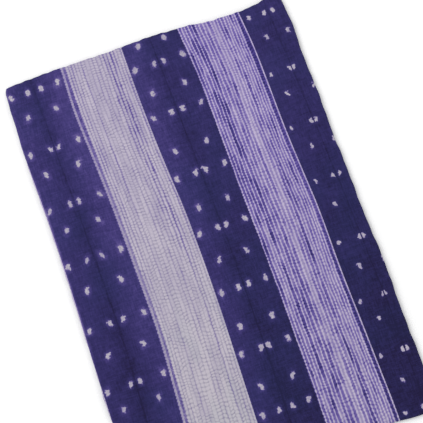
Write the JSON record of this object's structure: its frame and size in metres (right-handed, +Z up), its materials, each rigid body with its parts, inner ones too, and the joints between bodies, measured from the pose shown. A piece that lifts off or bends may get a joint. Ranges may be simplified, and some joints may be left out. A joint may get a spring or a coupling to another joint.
{
  "type": "folded shibori dyed cloth",
  "caption": "Length of shibori dyed cotton, folded flat into a layered rectangle, with dark dotted panels and pale stitched bands running lengthwise.",
  "frame": {"origin": "under the middle of the folded cloth's outline, on the surface it rests on", "axes": "+Z up out of the surface, +Y along the folded length from the folded end to the cut ends, +X across the folded width, from the fold beside the first dark panel to the fold inside the third"},
  "size_m": [0.348, 0.5116, 0.0091],
  "materials": {
    "dyed_cotton": "dull plain-weave cotton dyed indigo-violet, with undyed dots and pale stitched bands"
  },
  "bodies": {
    "root": {"folded_cloth": "dyed_cotton"}
  },
  "joints": []
}
